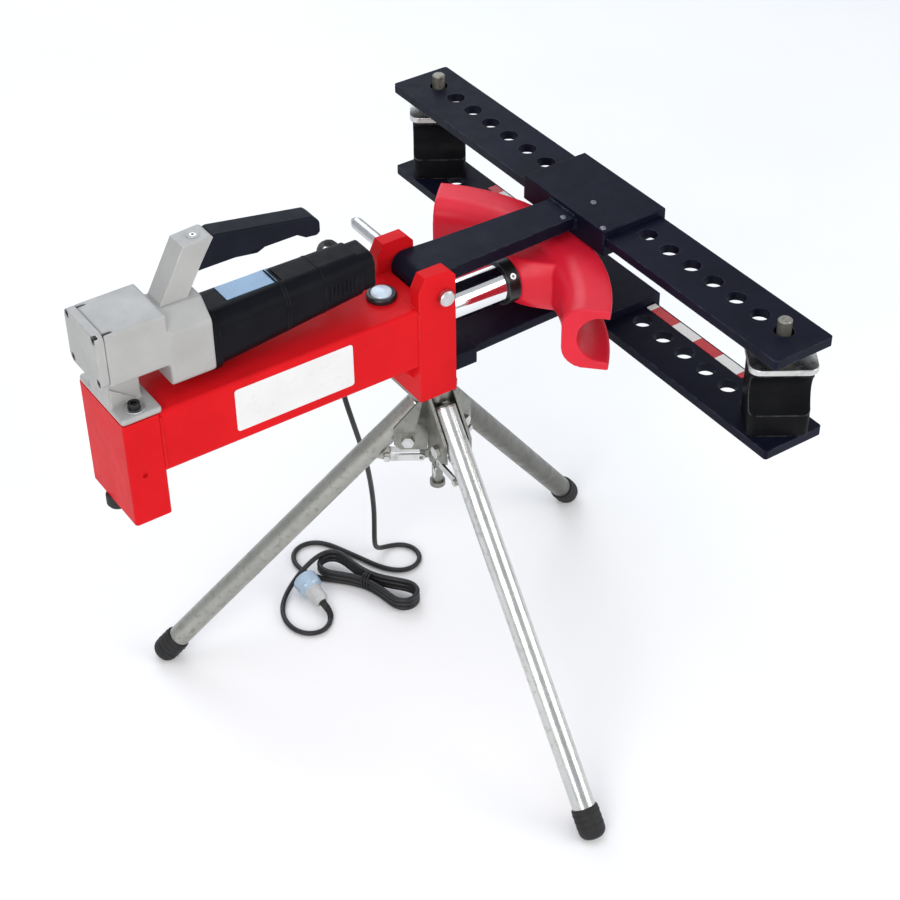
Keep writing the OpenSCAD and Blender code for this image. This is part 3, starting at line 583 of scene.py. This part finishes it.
def motor_band(bm, x0, x1, out, inn=-1.0):
    rows = [motor_ring(x0, inn), motor_ring(x0, out - 0.35), motor_ring(x0 + 0.4, out), motor_ring(x1 - 0.4, out), motor_ring(x1, out - 0.35), motor_ring(x1, inn)]
    rv = [[bm.verts.new(P(*p)) for p in row] for row in rows]
    n = len(rv[0])
    for a, b in zip(rv, rv[1:] + rv[:1]):
        for i in range(n):
            bm.faces.new((a[i], a[(i + 1) % n], b[(i + 1) % n], b[i]))


bm = bmesh.new()
motor_band(bm, -462.5, -460.5, 0.7)
motor_band(bm, -458.5, -456.8, 0.5)
motor_band(bm, -410, -408, 0.6)
piece("motor_bands", bm, MOTOR, "frame")
bm = bmesh.new()
for s in (-1, 1):
    for i in range(7):
        x = -402 + 5.6 * i
        t = (x + 550) / 190
        y = 36 - 8 * t
        z = 22 + 9 * t
        lo, hi = sorted((s * (y - 0.8), s * (y + 0.9)))
        add_box(bm, (x - 1.5, lo, z - 9), (x + 1.5, hi, z + 9))
piece("motor_louvres", bm, MOTOR, "frame", 0.5)
bm = bmesh.new()
for y, z in ((-15, 45), (15, 45), (-15, 17), (15, 17)):
    add_lathe(bm, [(0, -0.4), (3.6, -0.4), (3.6, 0.9), (2.8, 1.7), (1.2, 1.7), (0.9, 0.8), (0, 0.8)], P(-340, y, z), (1, 0, 0), 20)
piece("end_cap_screws", bm, BLACK, "frame")

# ---------------------------------------------------------------- gearbox
bm = bmesh.new()
for s in (-1, 1):
    add_lathe(bm, [(8.6, 0.0), (12.0, 0.0), (12.2, 0.4), (12.2, 1.5), (11.6, 2.0), (7.6, 2.0), (7.6, 0.0), (8.6, 0.0)], P(-663, s * 39, -14), (0, 0, 1), 40)
piece("pad_washers", bm, STEEL, "frame")
bm = bmesh.new()
add_lathe(bm, [(4.1, -0.6), (7.6, -0.6), (7.6, 0.6), (6.8, 1.3), (4.5, 1.3), (4.1, 0.8), (4.1, -0.6)], P(-553, 0, 149.2), (-0.06, 0, 1), 36)
piece("neck_boss", bm, ALU, "frame")
bm = bmesh.new()
for s in (-1, 1):
    lo, hi = sorted((s * 23, s * 27))
    vs = [P(*p) for p in ((-684, lo, -14), (-650, lo, -14), (-684, lo, 12), (-684, hi, -14), (-650, hi, -14), (-684, hi, 12))]
    vs = [bm.verts.new(v) for v in vs]
    for f in ((0, 1, 2), (3, 5, 4), (0, 3, 4, 1), (1, 4, 5, 2), (2, 5, 3, 0)):
        bm.faces.new([vs[i] for i in f])
piece("pad_ribs", bm, ALU, "frame", 1.0)

# ---------------------------------------------------------------- ram seal
lathe("ram_wiper", [(25.4, 0), (28.6, 0), (28.6, 1.6), (27.4, 3.4), (25.8, 3.4), (25.4, 2.4), (25.4, 0)], P(-244, 0, -70), (1, 0, 0), RUBBER, "frame", 64)
# ---------------------------------------------------------------- tripod
TRI = {"left": 146, "front": -94, "back": 26}
LEAN = math.radians(39.9)
HUB = (-250.5, -11.5)


def tri(name, rho, t, z):
    a = math.radians(TRI[name])
    return P(HUB[0] + rho * math.cos(a) - t * math.sin(a), HUB[1] + rho * math.sin(a) + t * math.cos(a), z)


for nm in TRI:
    a = math.radians(TRI[nm])
    ax = Vector((math.sin(LEAN) * math.cos(a), math.sin(LEAN) * math.sin(a), -math.cos(LEAN)))
    base = tri(nm, 34, 0, -215.6)
    bm = bmesh.new()
    for s in (517.0, 525.0, 533.0):
        add_lathe(bm, [(16.8, -1.1), (17.9, -0.8), (18.1, 0), (17.9, 0.8), (16.8, 1.1), (16.8, -1.1)], base + ax * s / 1000, ax, 40)
    piece("foot_ribs_" + nm, bm, RUBBER, "tripod_leg_" + nm)
    lathe("leg_cap_" + nm, [(0, -24.5), (11.5, -24.5), (14.4, -22.4), (15.2, -21.2), (15.2, -19.5), (12.9, -19.2), (12.9, -14), (0, -14)], base, ax, ZINC, "tripod_leg_" + nm, 40)

def aside(x, y, z):
    c, s = math.cos(math.radians(-15)), math.sin(math.radians(-15))
    return (HUB[0] + c * x - s * y, HUB[1] + s * x + c * y, z)


ring = []
for i in range(40):
    g = 2 * math.pi * i / 40
    ring.append(aside(-9 + 1.2 * math.cos(g), -14 + 6.0 * math.cos(g), -303 + 7.5 * math.sin(g)))
bm = bmesh.new()
add_tube(bm, ring, 1.1, 10, closed=True)
add_tube(bm, [aside(-8, y, -297) for y in (-9, -13, -17)], 2.2, 12)
piece("collar_ring", bm, STEEL, "post_collar")

# ---------------------------------------------------------------- tie on the hank
ca, sa = math.cos(math.radians(-65.2)), math.sin(math.radians(-65.2))
bm = bmesh.new()
for k, off in enumerate((-4.2, 0.0, 4.2)):
    loop = []
    for i in range(36):
        g = 2 * math.pi * i / 36
        c, s_ = math.cos(g), math.sin(g)
        b = 10.6 * (abs(c) ** 0.7) * (1 if c >= 0 else -1)
        z = 12.4 * (abs(s_) ** 0.7) * (1 if s_ >= 0 else -1)
        a_ = off + 0.8 * math.sin(g * 2 + k)
        loop.append((-262 + a_ * ca - b * sa, 158 + a_ * sa + b * ca, -642 + 13.6 + z))
    add_tube(bm, loop, 1.15, 8, closed=True)
tie = piece("cord_tie", bm, CORD, "frame")

# ---------------------------------------------------------------- stage
def stage_box():
    me = bpy.data.meshes.new("floor")
    bm = bmesh.new()
    s = 9.0
    vs = [bm.verts.new((x, y, -0.0006)) for x, y in ((-s, -s), (s, -s), (s, s), (-s, s))]
    bm.faces.new(vs)
    bm.to_mesh(me)
    bm.free()
    o = link(bpy.data.objects.new("floor", me))
    o.data.materials.append(material("floor_pale", (0.94, 0.94, 0.935), rough=0.7, var=0.015, vscale=2, rvar=0.05, bump=0.02, bscale=200, spec=0.2))


stage_box()


def area(name, loc, target, size, power, col=(1, 1, 1), size_y=None):
    d = bpy.data.lights.new(name, "AREA")
    d.shape = "RECTANGLE"
    d.size = size
    d.size_y = size_y or size
    d.energy = power
    d.color = col
    o = link(bpy.data.objects.new(name, d))
    o.location = loc
    o.rotation_euler = (Vector(target) - Vector(loc)).to_track_quat("-Z", "Y").to_euler()


area("key", (-2.9, -2.3, 2.2), (0, 0, 0.5), 2.2, 76, (1.0, 0.975, 0.95))
area("top", (-0.4, -0.2, 3.6), (0, 0, 0.5), 2.6, 26, (0.80, 0.89, 1.0))
area("fill", (2.4, -2.8, 1.8), (0, 0, 0.5), 2.4, 52, (1.0, 0.98, 0.96))
area("back", (0.8, 3.2, 3.0), (0, 0, 0.6), 2.6, 46, (0.88, 0.93, 1.0))
world = bpy.data.worlds.new("studio")
world.use_nodes = True
world.node_tree.nodes["Background"].inputs["Color"].default_value = (0.92, 0.95, 1.0, 1)
world.node_tree.nodes["Background"].inputs["Strength"].default_value = 0.64
bpy.context.scene.world = world
bpy.context.scene.view_settings.view_transform = "Standard"
